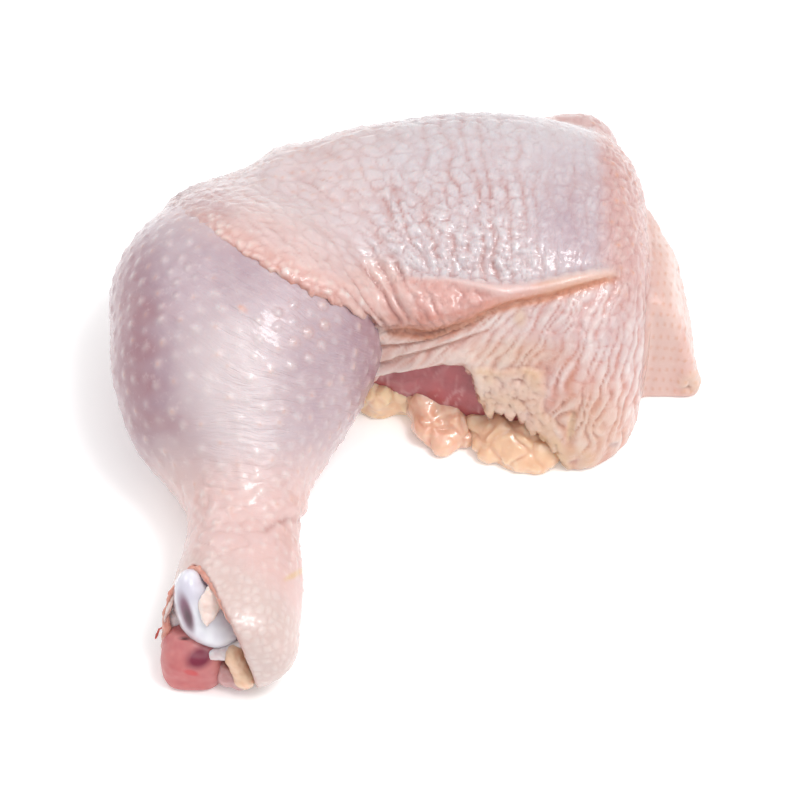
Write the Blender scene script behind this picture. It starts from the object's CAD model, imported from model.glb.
"""A raw chicken leg quarter on a plain pale floor, as a Blender add-on that makes each piece.

The pieces are worked out from tables of sections, as distance functions in millimetres: X to the
right, Y away from the drumstick's cut end, Z up. Each is meshed, given its relief (bumps,
wrinkles, folds) along its normals, and masks that its material mixes its colours by.
"""
import math

import bpy
import numpy as np
from bpy.props import FloatProperty, PointerProperty
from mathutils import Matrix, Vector
from mathutils.kdtree import KDTree


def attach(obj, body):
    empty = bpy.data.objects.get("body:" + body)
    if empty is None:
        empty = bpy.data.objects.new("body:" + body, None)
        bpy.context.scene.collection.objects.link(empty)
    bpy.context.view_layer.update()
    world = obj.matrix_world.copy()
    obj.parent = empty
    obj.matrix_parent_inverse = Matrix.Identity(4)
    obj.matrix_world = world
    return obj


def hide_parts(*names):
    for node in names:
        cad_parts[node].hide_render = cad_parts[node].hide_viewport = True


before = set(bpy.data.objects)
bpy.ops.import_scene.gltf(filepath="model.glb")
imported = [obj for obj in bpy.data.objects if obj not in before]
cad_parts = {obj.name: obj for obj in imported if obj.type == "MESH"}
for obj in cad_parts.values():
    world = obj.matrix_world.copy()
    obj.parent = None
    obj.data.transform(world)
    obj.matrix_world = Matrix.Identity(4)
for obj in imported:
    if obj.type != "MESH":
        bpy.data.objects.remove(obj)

bl_info = {
    "name": "Raw chicken leg quarter",
    "version": (1, 0, 0),
    "blender": (4, 5, 0),
    "location": "View3D > Sidebar > Chicken leg",
    "description": "Makes a raw chicken leg quarter, its cut meat, fat and joint, and its stage",
    "category": "Add Mesh",
}

MM = 0.001
FLAT_ANGLE = 0.0005                  # faces within this of each other become one, rad
BASE_FADE, BASE_SNAP = (0.05, 1.2), 0.03      # relief fades in above the flat base, mm
HOLLOW_ROUNDS, HOLLOW_GAIN = 6, 3    # how wide and how strongly hollows are marked
WIDEN_OVER, WIDEN_MOST = 12, 0.8     # the grid widens away from its fine stretch, mm; share
OFFSET = (0.2690, -3.8265, 0.0)      # from the tables' frame to the object's own, mm
TILT = math.radians(50.0)            # the folds are laid out on a plane square to this slope
TARGET = (-1.5, -6.0, 20.0)          # what the camera looks at, in the tables' frame, mm
FLOOR_DROP, SENSOR = 0.0001, 36.0    # m; mm
KEY_PLACE, FILL_PLACE = (0.28, -0.20, 0.78), (-0.50, 0.25, 0.60)
# lights: name, place, width in m, which power, share of it
LIGHTS = (("key", KEY_PLACE, 0.26, "key_power", 0.5),
          ("soft_key", KEY_PLACE, 0.9, "key_power", 0.54),
          ("fill", FILL_PLACE, 0.5, "fill_power", 1.0))

# drumstick: y, x centre, z centre, half width, half height
LEG = [(-74, -35.6, 12.6, 12.6, 11.5), (-62, -36.6, 13.0, 14.3, 12.8),
       (-50, -35.4, 13.8, 13.4, 12.4), (-41, -35.0, 14.8, 12.0, 11.6),
       (-34, -35.1, 16.2, 12.3, 13.0), (-27, -36.0, 18.2, 15.3, 16.0),
       (-18, -37.4, 21.0, 21.6, 20.4), (-7, -36.6, 24.0, 27.2, 24.2),
       (6, -35.5, 25.6, 30.0, 26.0), (20, -37.1, 25.2, 29.2, 25.4),
       (34, -39.6, 23.0, 23.2, 21.2), (46, -42.0, 21.0, 17.2, 17.0),
       (60, -45.0, 20.0, 14.0, 15.0)]
ANKLE_Y, KNEE_Y = -72.5, 50.0

# thigh: x, y front, y back, z top, lean of the front wall, depth below the middle
THIGH = [(-62, 34, 46, 26.0, 0, 15), (-48, 25.5, 52.5, 33.0, 0, 19),
         (-32, 12, 59, 40.0, 0, 26), (-16, 5, 65.6, 46.0, 0, 33), (0, 3, 69, 48.5, 3, 36),
         (14, 2, 70.5, 49.5, 8, 36), (28, 0, 70, 49.0, 10.5, 36),
         (40, -1, 68, 47.0, 12.3, 36), (50, 1, 64, 43.0, 7.5, 36), (60, 6.5, 58, 36.0, 0, 36)]
THIGH_LEFT, THIGH_RIGHT = -60.0, 54.5
THIGH_MID, UNDER_BACK, LEAN_TOP, SQUARENESS = 19.0, 25.0, 42.0, 2.35

# edge of the thigh's skin over the drumstick: across, up the slope, thickness
LIP = [(-80, 62, 0), (-58.7, 51.3, 0.0), (-50, 48, 0.15), (-45, 45, 0.4), (-34, 38.2, 1.1),
       (-22.9, 31.8, 1.7), (-12.2, 27.1, 2.0), (-4.1, 22.5, 1.2), (2, 12, 0.3), (10, -30, 0)]
LIP_BLEND, LIP_BLEND_END, LIP_FADE = 9.0, 2.5, (-18.0, -3.0)
# rolled fold across the thigh: across, crest up the slope, reach above, reach below, height
FOLD = [(-10, 26.0, 5.0, 2.0, 0.6), (-7, 26.6, 6.0, 2.6, 1.8), (-3, 27.2, 7.0, 3.4, 3.0),
        (1, 27.3, 8.0, 3.7, 3.8), (5, 26.8, 8.5, 3.5, 4.1), (9.3, 27.3, 8.0, 3.3, 4.1),
        (13.9, 28.6, 6.3, 2.9, 3.9), (17.5, 30.2, 4.2, 2.6, 3.6), (23, 31.6, 2.6, 2.2, 3.2),
        (29, 32.6, 2.3, 2.0, 2.8), (35, 34.0, 2.1, 1.8, 2.4), (41, 35.3, 1.7, 1.3, 1.7),
        (45, 36.0, 1.2, 0.9, 0.9), (48, 36.4, 1.0, 0.8, 0.2)]
FOLD_SINK, FOLD_BLEND = 0.6, 0.7
# ragged edge of the skin over the cut: across, up the slope
RAGGED = [(-14, 11.5), (-6, 13.4), (1.2, 14.5), (6.1, 15.3), (10.7, 15.6), (13.0, 15.2),
          (15.0, 12.4), (16.2, 8.6), (17.2, 6.8), (21.8, 5.6), (25.4, 4.2), (28.9, 1.0),
          (32.6, -1.6), (36.2, -7.5), (42, -16)]
POCKET_LEFT, POCKET_BACK = -14.0, -9.0

# cut end of the skin at the ankle, round the joint: across, up the slope
CUFF = [(-60, -56), (-54, -46), (-50.5, -38.5), (-48.2, -33.4), (-46.4, -29.0), (-44.6, -26.6),
        (-43.1, -26.6), (-41.2, -28.3), (-39.9, -30.2), (-38.3, -33.2), (-36.1, -37.4),
        (-34.1, -42.0), (-32.8, -46.5), (-31.6, -51.5), (-30.4, -58), (-27, -72)]
CUFF_WALL, CUFF_DEPTH = 1.4, 2.5

# flap: x of its root and of its upper edge, reach of its foot past that, height
FLAP_ROOT, FLAP_X, FLAP_REACH, FLAP_TOP = 44.0, 54.5, 12.8, 34.0
# y of its front and of its foot's back, and how far the back leans with height
FLAP_FRONT, FLAP_BACK, FLAP_RISE = 11.5, 22.0, 24.0
# bunched corner: right end, back, top, rounding; the back swells out between two x by a depth
TAIL_X, TAIL_Y, TAIL_TOP, TAIL_ROUND = 50.5, 80.5, 29.5, 9.5
TAIL_RISE, TAIL_SLOPE = (10.0, 38.0, 17.0), -0.10

# creases under the fold, and the edges of the loose folds below them: across, up the slope
CREASE = [(-8, 26.5), (-5.9, 25.3), (-4.1, 23.6), (0.7, 22.6), (5.1, 22.5), (9.4, 23.8),
          (13.7, 25.7), (18, 28.2), (21.2, 30.1)]
FOLD_2 = [(-8, 20.0), (-4.6, 20.2), (-1.5, 20.4), (2.9, 21.2), (7.3, 22.3), (11.6, 23.8),
          (15.9, 25.9), (20, 28.6)]
FOLD_3 = [(-8, 16.0), (-4.6, 16.7), (-1.5, 17.8), (2.9, 18.8), (7.3, 20.1), (10.5, 21.0),
          (14.9, 22.5), (20, 24.5)]
# ridge along the rolled fold: across, up the slope
RIDGE = [(-4, 36.6), (-0.4, 36.2), (2.9, 35.7), (7.2, 35.0), (13.7, 33.4), (20.1, 32.0),
         (24.4, 31.8), (30.9, 32.7)]

# lobes of fat: (centre, radii) of each ellipsoid
FAT_LEFT = [((-9.2, 11.0, 3.6), (4.6, 5.4, 5.2)), ((-5.2, 10.4, 4.4), (3.8, 5.8, 6.4)),
            ((-1.2, 10.2, 4.6), (3.6, 5.8, 6.2)), ((2.2, 9.6, 4.2), (3.2, 5.0, 5.4)),
            ((-6.5, 7.4, 1.8), (3.4, 2.8, 2.8)), ((-6.2, 7.6, 6.6), (4.0, 3.6, 4.3))]
FAT_MIDDLE = [((3.6, 6.2, 5.2), (4.0, 5.0, 5.4)), ((8.2, 5.8, 5.8), (4.2, 4.6, 5.0)),
              ((5.4, 1.2, 3.6), (4.2, 5.0, 4.2)), ((11.0, 2.2, 4.2), (3.6, 4.6, 4.6)),
              ((8.2, -2.8, 2.0), (3.6, 3.8, 3.0)), ((12.6, -1.2, 2.4), (2.8, 3.2, 3.2))]
FAT_RIGHT = [((16.2, 1.6, 4.0), (3.8, 4.8, 4.8)), ((20.6, -0.6, 4.4), (4.6, 6.2, 5.4)),
             ((26.2, -2.4, 4.2), (5.2, 6.8, 5.4)), ((31.4, -4.0, 3.2), (4.0, 5.2, 4.4)),
             ((24.2, -6.8, 2.2), (4.2, 4.2, 3.4)), ((29.0, -8.0, 2.0), (4.4, 4.0, 3.2)),
             ((18.8, -4.6, 2.2), (3.8, 4.0, 3.4))]
CONDYLES = [((-45.0, -58.0, 17.4), (3.8, 5.4, 8.0)), ((-39.6, -62.4, 13.8), (5.8, 4.5, 4.2)),
            ((-41.0, -60.2, 16.6), (4.6, 4.0, 5.0))]
CAP = ((-45.1, -63.9, 4.8), (6.6, 6.0, 6.6))
CAP_EDGE = [((-46.2, -62.0, 9.4), (3.4, 3.4, 2.8)), ((-42.5, -63.0, 9.6), (3.4, 3.0, 2.4))]
TENDON = ((-40.7, -62.0, 21.2), (2.5, 4.7, 1.4))      # centre; half width, height, thickness
LIGAMENT = [(-42.6, -66.0, 9.9, 0.6), (-40.6, -66.8, 9.8, 1.1), (-38.2, -66.6, 10.2, 1.3),
            (-36.2, -66.4, 12.0, 0.9), (-34.6, -66.4, 13.4, 0.8)]
SCRAP = [((-37.8, -67.6, 3.4), (2.4, 2.2, 2.6)), ((-35.0, -68.8, 3.2), (2.2, 1.8, 2.4)),
         ((-38.8, -67.0, 5.4), (1.1, 1.4, 1.4))]
# strips of torn membrane on the joint's left side, and a thread of it: x, y, z, radius
MEMBRANE = [(-46.2, -56.6, 24.0, 0.45), (-49.0, -58.2, 20.0, 0.5), (-50.2, -60.0, 15.5, 0.7),
            (-50.4, -61.2, 11.5, 1.0), (-50.8, -62.6, 7.0, 0.9), (-51.2, -63.6, 4.0, 0.5)]
# the skin's lining, seen along its cut edge, and tissue between it and the joint
LINING = [(-47.6, -58.4, 20.4, 0.8), (-46.3, -55.8, 21.6, 0.8), (-44.7, -54.2, 22.6, 0.8),
          (-43.1, -54.8, 23.6, 0.8), (-41.3, -57.6, 24.2, 0.8), (-39.8, -59.8, 24.4, 0.8),
          (-38.2, -63.6, 24.6, 0.7), (-36.0, -67.4, 22.8, 0.6)]
SIDE_TISSUE = [(-47.6, -56.5, 18.0, 1.2), (-48.4, -58.5, 12.5, 1.7), (-48.6, -60.5, 8.0, 1.8)]
THREAD = [(-50.6, -61.0, 12.0, 0.5), (-51.9, -61.3, 11.2, 0.28), (-52.7, -62.4, 9.6, 0.14)]
ANKLE_FAT = [((-35.8, -67.2, 9.8), (2.2, 2.8, 3.6)), ((-34.0, -68.8, 5.2), (2.5, 2.7, 3.7))]


# ---------------------------------------------------------------- distance functions

def unit(t):
    """The value kept between 0 and 1."""
    return np.clip(t, 0, 1)


def bell(t):
    """A smooth bump, 1 where t is nought and all but gone at 2."""
    return np.exp(-t ** 2)


def ramp(t, lo, hi):
    """Rises smoothly from 0 at lo to 1 at hi."""
    w = unit((t - lo) / (hi - lo))
    return w * w * (3 - 2 * w)


def fall(t, lo, hi):
    """Falls smoothly from 1 at lo to 0 at hi."""
    return 1 - ramp(t, lo, hi)


def curve(t, stations, column):
    """Value of one column of a table at t, by a smooth cubic between its stations."""
    s = np.array(stations, float)
    x, y = s[:, 0], s[:, column]
    slope = np.gradient(y, x)
    i = np.clip(np.searchsorted(x, t) - 1, 0, len(x) - 2)
    h = x[i + 1] - x[i]
    w = unit((t - x[i]) / h)
    return (y[i] * (1 + 2 * w) * (1 - w) ** 2 + slope[i] * h * w * (1 - w) ** 2
            + y[i + 1] * w * w * (3 - 2 * w) + slope[i + 1] * h * w * w * (w - 1))


def join(a, b, k):
    """Union of two distances, rounded over k."""
    h = unit(0.5 + 0.5 * (b - a) / k)
    return b + (a - b) * h - k * h * (1 - h)


def meet(a, b, k):
    """Intersection of two distances, rounded over k."""
    return -join(-a, -b, k)


def clipped(**masks):
    """Masks kept between 0 and 1, by name."""
    return {key: unit(value) for key, value in masks.items()}


def spot(a, b, centre, radii, soft=0.6, turn=0.0):
    """A soft-edged oval: 1 inside, 0 outside."""
    c, s = math.cos(math.radians(turn)), math.sin(math.radians(turn))
    u, v = a - centre[0], b - centre[1]
    d = np.sqrt(((u * c + v * s) / radii[0]) ** 2 + ((v * c - u * s) / radii[1]) ** 2)
    return fall(d, 1 - soft, 1 + soft)


def lumps(p, ellipsoids, k=3.0):
    """Ellipsoids of (centre, radii), joined."""
    out = None
    for c, r in ellipsoids:
        f = (np.sqrt(sum(((p[i] - c[i]) / r[i]) ** 2 for i in range(3))) - 1) * min(r)
        out = f if out is None else join(out, f, k)
    return out


def rod(p, stations, k=0.4):
    """A round bar through stations of x, y, z, radius."""
    out = None
    for a, b in zip(stations, stations[1:]):
        a, b = np.array(a, float), np.array(b, float)
        d = b[:3] - a[:3]
        t = unit(sum((p[i] - a[i]) * d[i] for i in range(3)) / (d @ d))
        f = np.sqrt(sum((p[i] - a[i] - t * d[i]) ** 2 for i in range(3)))
        f = f - (a[3] + (b[3] - a[3]) * t)
        out = f if out is None else join(out, f, k)
    return out


def sloped(p):
    """Across and up the slope, for the folds' layout."""
    return p[0] + 0 * p[1], p[1] * math.sin(TILT) + p[2] * math.cos(TILT)


def off_slope(p):
    """Distance along the slope's normal."""
    return p[2] * math.sin(TILT) - p[1] * math.cos(TILT)


def drumstick(p):
    """The leg below the knee, a run of ovals along Y."""
    x, y, z = p
    cx, cz, rx, rz = (curve(y, LEG, c) for c in (1, 2, 3, 4))
    side = (np.sqrt(((x - cx) / rx) ** 2 + ((z - cz) / rz) ** 2) - 1) * np.sqrt(rx * rz)
    return meet(meet(side, ANKLE_Y - y, 7), y - KNEE_Y, 22)


def thigh(p):
    """The thigh, a run of rounded sections along X."""
    x, y, z = p
    front, back, top, lean, under = (curve(x, THIGH, c) for c in (1, 2, 3, 4, 5))
    front = front - lean * unit(1 - z / LEAN_TOP)
    yc, ry = (front + back) / 2, (back - front) / 2
    under = np.where(y < yc, under, np.minimum(under, UNDER_BACK))
    rz = np.where(z > THIGH_MID, top - THIGH_MID, under)
    n = SQUARENESS
    d = (np.abs((y - yc) / ry) ** n + np.abs((z - THIGH_MID) / rz) ** n) ** (1 / n)
    side = (d - 1) * np.minimum(ry, top - THIGH_MID)
    return meet(meet(side, x - THIGH_RIGHT, 11), THIGH_LEFT - x, 14)


def roll(a, b, t, y):
    """The rolled fold, from the place on the slope and the distance t off the thigh."""
    crest, up, down, high = (curve(a, FOLD, c) for c in (1, 2, 3, 4))
    high = np.maximum(high, 0.05)
    reach = np.where(b > crest, up, down)
    f = np.sqrt(((b - crest) / reach) ** 2 + ((t + FOLD_SINK) / (high + FOLD_SINK)) ** 2) - 1
    f = f * np.minimum(np.minimum(up, down), high + FOLD_SINK)
    return f + 6 * fall(a, -11, -8) + 6 * ramp(a, 46, 49) + 20 * ramp(y, 26, 36)


def flap(p):
    """The flap of skin at the thigh's right end."""
    x, y, z = p
    h = unit(z / FLAP_TOP)
    edge = FLAP_X + FLAP_REACH * (1 - h) ** 0.5
    back = FLAP_BACK + FLAP_RISE * h ** 0.7
    f = meet(meet(x - edge, FLAP_ROOT - x, 3), FLAP_FRONT - y, 3)
    return meet(meet(f, y - back, 9), z - FLAP_TOP + 1, 6)


def tail(p):
    """The bunched skin: a soft block that swells out of the thigh's back."""
    x, y, z = p
    r = TAIL_ROUND
    back = TAIL_Y - TAIL_RISE[2] * fall(x, *TAIL_RISE[:2])
    slack = TAIL_SLOPE * (np.clip(z, 0, TAIL_TOP) - TAIL_TOP)
    over = [x - TAIL_X + r, y - back + r + slack, z - TAIL_TOP + r]
    far = np.sqrt(sum(np.maximum(v, 0) ** 2 for v in over)) - r
    near = np.minimum(np.maximum(np.maximum(over[0], over[1]), over[2]), 0)
    return meet(meet(far + near, 8 - x, 8), 40 - y, 4)


def cuff(p):
    """Distance past the skin's cut end, towards the joint."""
    a, b = sloped(p)
    steep = (curve(a + 0.4, CUFF, 1) - curve(a - 0.4, CUFF, 1)) / 0.8
    return (curve(a, CUFF, 1) + 0.2 * np.sin(a * 1.7 + b * 0.9) - b) / np.sqrt(1 + steep ** 2)


def drumstick_skin(p):
    """The drumstick with its skin cut open round the joint."""
    drum, end = drumstick(p), cuff(p)
    f = meet(drum, end, 0.8)
    hollow = meet(drum + CUFF_WALL, -end - CUFF_DEPTH, 2.0)
    return meet(meet(f, -hollow, 0.5), -p[2], 0.4)


def ragged(a):
    """The torn edge's height up the slope, with its small tears."""
    tear = ramp(a, 11, 15)
    rough = 0.7 * np.sin(a * 1.3 + 0.4) + 0.6 * np.sin(a * 2.6 + 1.1) + 0.3 * np.sin(a * 5.3)
    return curve(a, RAGGED, 1) + rough * (0.15 + 0.75 * tear)


def pocket(p):
    """The cut that lays the thigh's meat open."""
    a, b = sloped(p)
    f = meet((b - ragged(a)) * 0.85, POCKET_BACK - off_slope(p), 1.0)
    f = meet(f, POCKET_LEFT - p[0], 3)
    return meet(f, 1.4 - drumstick(p), 1)


def thigh_skin(p):
    """The thigh with its fold, corner and flap, open over the cut."""
    drum, body = drumstick(p) + 0.05, thigh(p)
    a, b = sloped(p)
    body = join(body, roll(a, b, body, p[1]), FOLD_BLEND)
    soft = LIP_BLEND + (LIP_BLEND_END - LIP_BLEND) * ramp(a, *LIP_FADE)
    cover = join(drum - curve(a, LIP, 2), body, soft)
    wave = 0.35 * np.sin(a * 1.3) + 0.22 * np.sin(a * 2.9 + 1)
    cover = meet(cover, (curve(a, LIP, 1) + wave * ramp(a, -40, -30) - b) * 0.7, 3.0)
    f = join(cover, body, 1.2)
    f = join(f, tail(p), 7)
    f = join(f, flap(p), 1.2)
    f = meet(f, -pocket(p), 0.8)
    return meet(f, -p[2], 0.5)


def meat(p):
    """The meat inside the thigh's skin."""
    f = meet(meet(thigh(p) + 3.0, -14 - p[0], 6), p[0] - 50, 4)
    f = meet(f, p[1] - 30, 3)
    return meet(f, 1.0 - p[2], 1.0)


# ---------------------------------------------------------------- noise

def hashed(i, seed):
    """A scrambled whole number for each point of the whole-number lattice."""
    h = (i[0] * 73856093) ^ (i[1] * 19349663) ^ (i[2] * 83492791) ^ (seed * 2654435761)
    h = h & 0xFFFFFFFF
    h = ((h ^ (h >> 16)) * 0x45D9F3B) & 0xFFFFFFFF
    h = ((h ^ (h >> 16)) * 0x45D9F3B) & 0xFFFFFFFF
    return (h ^ (h >> 16)) & 0x3FFFFFFF


def lattice(i, seed):
    """A number from 0 to 1 for each point of the lattice."""
    return hashed(i, seed) / float(0x3FFFFFFF)


def noise(p, size, seed=1, octaves=1):
    """Smooth noise of about -1 to 1. size is the grain in mm, one number or one for each axis."""
    size = np.broadcast_to(np.array(size, float), (3,))
    q = np.stack([p[k] / size[k] for k in range(3)])
    total, weight = 0.0, 0.0
    for o in range(octaves):
        r = q * 2 ** o + 17.3 * o
        i = np.floor(r).astype(np.int64)
        t = r - i
        w = t * t * t * (t * (t * 6 - 15) + 10)
        v = 0.0
        for dx in (0, 1):
            for dy in (0, 1):
                for dz in (0, 1):
                    h = hashed((i[0] + dx, i[1] + dy, i[2] + dz), seed + o)
                    g = (((h & 1023) - 511.5) * (t[0] - dx) + (((h >> 10) & 1023) - 511.5) * (t[1] - dy)
                         + (((h >> 20) & 1023) - 511.5) * (t[2] - dz)) / 511.5
                    v = v + g * ((w[0] if dx else 1 - w[0]) * (w[1] if dy else 1 - w[1])
                                 * (w[2] if dz else 1 - w[2]))
        total, weight = total + v * 0.5 ** o, weight + 0.5 ** o
    return total / weight * 1.9


def cells(p, size, seed=1, jitter=0.85):
    """Distances to the nearest and second nearest of a jittered lattice's points, in cells."""
    size = np.broadcast_to(np.array(size, float), (3,))
    q = np.stack([p[k] / size[k] for k in range(3)])
    base = np.floor(q).astype(np.int64)
    first, second = np.full(q.shape[1], 9.0), np.full(q.shape[1], 9.0)
    for dx in (-1, 0, 1):
        for dy in (-1, 0, 1):
            for dz in (-1, 0, 1):
                i = (base[0] + dx, base[1] + dy, base[2] + dz)
                d = 0.0
                for k in range(3):
                    d = d + (i[k] + 0.5 + jitter * (lattice(i, seed + k) - 0.5) - q[k]) ** 2
                second = np.minimum(second, np.maximum(first, d))
                first = np.minimum(first, d)
    return np.sqrt(first), np.sqrt(second)


def plates(p, size, seed=1, valley=0.3, jitter=0.85):
    """1 on the plates of a cracked pattern and 0 in the valleys between them."""
    near, far = cells(p, size, seed, jitter)
    return ramp(far - near, 0.0, valley)


def creases(q, size, seed=1, width=0.3):
    """0 along the creases of a crumpled sheet, rising to 1 on the facets between them."""
    return ramp(np.abs(noise(q, size, seed)), 0.0, width)


def ripples(q, gap, seed=1, wander=0.5, sharp=0.6):
    """Rounded ridges across the first axis: 1 on a ridge, 0 in the furrows that part them."""
    phase = q[0] / gap + wander * noise(q, (gap * 1.6, gap * 3.5, gap * 4), seed)
    return np.abs(np.sin(math.pi * phase)) ** sharp


def slope_frame(p, angle=0.0):
    """The points as across, up the slope and along its normal, turned on the slope."""
    a, b = sloped(p)
    c, d = math.cos(math.radians(angle)), math.sin(math.radians(angle))
    return np.stack([a * c + b * d, b * c - a * d, off_slope(p)])


# ---------------------------------------------------------------- meshing

def planes(lo, hi, step, fine):
    """Grid planes a step apart within the fine stretch, and wider apart away from it."""
    out = [lo]
    while out[-1] < hi:
        away = max(fine[0] - out[-1], out[-1] - fine[1], 0.0)
        out.append(out[-1] + step * (1 + min(away / WIDEN_OVER, WIDEN_MOST)))
    return np.array(out)


def surface_nets(field, axes):
    """Quads over the surface where the field is zero, on the grid of the given planes."""
    n = [len(v) for v in axes]
    v = np.empty(n, np.float32)
    chunk = 24
    for i in range(0, n[0], chunk):
        v[i:i + chunk] = field((axes[0][i:i + chunk, None, None], axes[1][None, :, None],
                                axes[2][None, None, :]))
    inside = v < 0
    quads, spots = [], []
    for k in range(3):
        a, b = [slice(None)] * 3, [slice(None)] * 3
        a[k], b[k] = slice(0, -1), slice(1, None)
        e = np.argwhere(inside[tuple(a)] != inside[tuple(b)])
        o1, o2 = (k + 1) % 3, (k + 2) % 3
        e = e[(e[:, o1] > 0) & (e[:, o2] > 0) & (e[:, o1] < n[o1] - 1) & (e[:, o2] < n[o2] - 1)]
        e2 = e.copy()
        e2[:, k] += 1
        va, vb = v[tuple(e.T)], v[tuple(e2.T)]
        spot_at = e.astype(float)
        spot_at[:, k] += va / (va - vb)
        d1, d2 = np.zeros(3, int), np.zeros(3, int)
        d1[o1], d2[o2] = 1, 1
        ring = np.stack([e - d1 - d2, e - d2, e, e - d1], 1)
        turn = ~inside[tuple(e.T)]
        ring[turn] = ring[turn][:, ::-1]
        quads.append(np.ravel_multi_index(tuple(ring.reshape(-1, 3).T), n))
        spots.append(np.repeat(spot_at, 4, axis=0))
    quads, spots = np.concatenate(quads), np.concatenate(spots)
    _, faces = np.unique(quads, return_inverse=True)
    faces = faces.ravel()
    count = np.bincount(faces)
    co = np.stack([np.interp(np.bincount(faces, spots[:, i]) / count, np.arange(n[i]), axes[i])
                   for i in range(3)], 1)
    return co, faces.reshape(-1, 4)


def settle(field, co, rounds=3, e=0.08):
    """Draws the points onto the surface; returns them with their normals."""
    for i in range(rounds + 1):
        p = co.T
        g = np.stack([(field(p + d) - field(p - d)) / (2 * e) for d in np.eye(3)[:, :, None] * e])
        if i < rounds:
            size = np.maximum((g * g).sum(0), 0.1)
            co = co - (np.clip(field(p) / size, -0.4, 0.4) * g).T
    return co, (g / np.maximum(np.sqrt((g * g).sum(0)), 1e-6)).T


def vertex_normals(co, faces):
    """The quads' normals, averaged at each vertex."""
    d1 = co[faces[:, 2]] - co[faces[:, 0]]
    d2 = co[faces[:, 3]] - co[faces[:, 1]]
    n = np.cross(d1, d2)
    out = np.zeros_like(co)
    for k in range(4):
        for axis in range(3):
            out[:, axis] += np.bincount(faces[:, k], n[:, axis], len(co))
    return out / np.maximum(np.linalg.norm(out, axis=1, keepdims=True), 1e-9)


def smoothed(values, faces, rounds):
    """Averages a value (or points) with its neighbours along the quads' edges."""
    edges = np.concatenate([faces[:, [k, (k + 1) % 4]] for k in range(4)])
    n = len(values)
    count = np.maximum(np.bincount(edges[:, 0], minlength=n), 1)
    v = values.reshape(n, -1).astype(float)
    for _ in range(rounds):
        v = 0.5 * v + 0.5 * np.stack([np.bincount(edges[:, 0], v[edges[:, 1], k], n) / count
                                      for k in range(v.shape[1])], 1)
    return v.reshape(values.shape)


def make_piece(name, field, box, step, relief, soften=1, fine=None):
    """Meshes a field, applies its relief and stores the masks that the relief returns."""
    fine = fine or list(zip(*box))
    axes = [planes(box[0][k], box[1][k], step, fine[k]) for k in range(3)]
    co, faces = surface_nets(field, axes)
    co, normal = settle(field, co)
    co = smoothed(co, faces, soften)
    normal = vertex_normals(co, faces)
    height, masks = relief(co.T, normal.T)
    moved = co + normal * (height * ramp(co[:, 2], *BASE_FADE))[:, None]
    moved[:, 2] = np.where(moved[:, 2] < BASE_SNAP, 0.0, moved[:, 2])
    depth = smoothed(height, faces, HOLLOW_ROUNDS) - height
    masks["hollow"] = np.clip(depth * HOLLOW_GAIN, -1, 1) * 0.5 + 0.5
    return to_object(name, moved, faces, masks)


def to_object(name, co, faces, masks=None):
    """A mesh object with the masks as attributes and its flat base as one face."""
    me = bpy.data.meshes.new(name)
    me.from_pydata(((co + np.array(OFFSET)) * MM).tolist(), [], faces.tolist())
    for key, values in (masks or {}).items():
        kind, field = ("FLOAT_VECTOR", "vector") if np.ndim(values) == 2 else ("FLOAT", "value")
        at = me.attributes.new(key, kind, "POINT")
        at.data.foreach_set(field, np.ascontiguousarray(values, dtype=np.float32).ravel())
    me.shade_smooth()
    ob = bpy.data.objects.new(name, me)
    bpy.context.scene.collection.objects.link(ob)
    if (co[:, 2] <= 0).any():
        mod = ob.modifiers.new("base", "DECIMATE")
        mod.decimate_type, mod.angle_limit = "DISSOLVE", FLAT_ANGLE
        graph = bpy.context.evaluated_depsgraph_get()
        ob.data = bpy.data.meshes.new_from_object(ob.evaluated_get(graph))
        ob.modifiers.clear()
        bpy.data.meshes.remove(me)
        ob.data.name = name
    return ob


def nearest(points, co):
    """Distance from each vertex to the nearest of the points, and that point's number."""
    tree = KDTree(len(points))
    for i, q in enumerate(points):
        tree.insert(q, i)
    tree.balance()
    found = [tree.find(q)[1:] for q in co]
    number, distance = zip(*found)
    return np.array(distance), np.array(number)


def scattered(co, size, seed, near=0.62):
    """Points spread over a surface, about one in each cube of the given size."""
    q = co / size
    i = np.floor(q).astype(np.int64)
    centre = np.stack([i[:, k] + 0.25 + 0.5 * lattice(i.T, seed + k) for k in range(3)], 1)
    d = np.linalg.norm(q - centre, axis=1)
    order = np.lexsort((d, i[:, 2], i[:, 1], i[:, 0]))
    j = i[order]
    first = np.ones(len(j), bool)
    first[1:] = (j[1:] != j[:-1]).any(1)
    chosen = order[first]
    points = co[chosen[d[chosen] < near]]
    tree = KDTree(len(points))
    for k, v in enumerate(points):
        tree.insert(v, k)
    tree.balance()
    dropped = set()
    for k, v in enumerate(points):
        if k not in dropped:
            dropped.update(m for _, m, _ in tree.find_range(v, size * near) if m > k)
    return np.array([v for k, v in enumerate(points) if k not in dropped])


# ---------------------------------------------------------------- relief of each piece

def follicle_rows():
    """The drumstick's follicles: staggered rings round it, sloping down on its right side."""
    points = []
    for row, y in enumerate(np.arange(-48.0, 62.0, 3.9)):
        _, _, rx, rz = (float(curve(y, LEG, c)) for c in (1, 2, 3, 4))
        count = max(int(round(2 * math.pi * math.sqrt(rx * rz) / 4.2)), 8)
        for k in range(count):
            turn = 2 * math.pi * (k + 0.5 * (row % 2) + 0.11 * math.sin(row * 2.3 + k)) / count
            shift = 0.6 * math.sin(k * 1.7 + row * 0.9) + 0.4 * math.sin(k * 3.1 + row)
            at = y + shift - 0.42 * max(rx * math.cos(turn) - 2, 0)
            cx, cz, rx2, rz2 = (float(curve(at, LEG, c)) for c in (1, 2, 3, 4))
            points.append((cx + rx2 * math.cos(turn), at, cz + rz2 * math.sin(turn)))
    return np.array(points)


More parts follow.
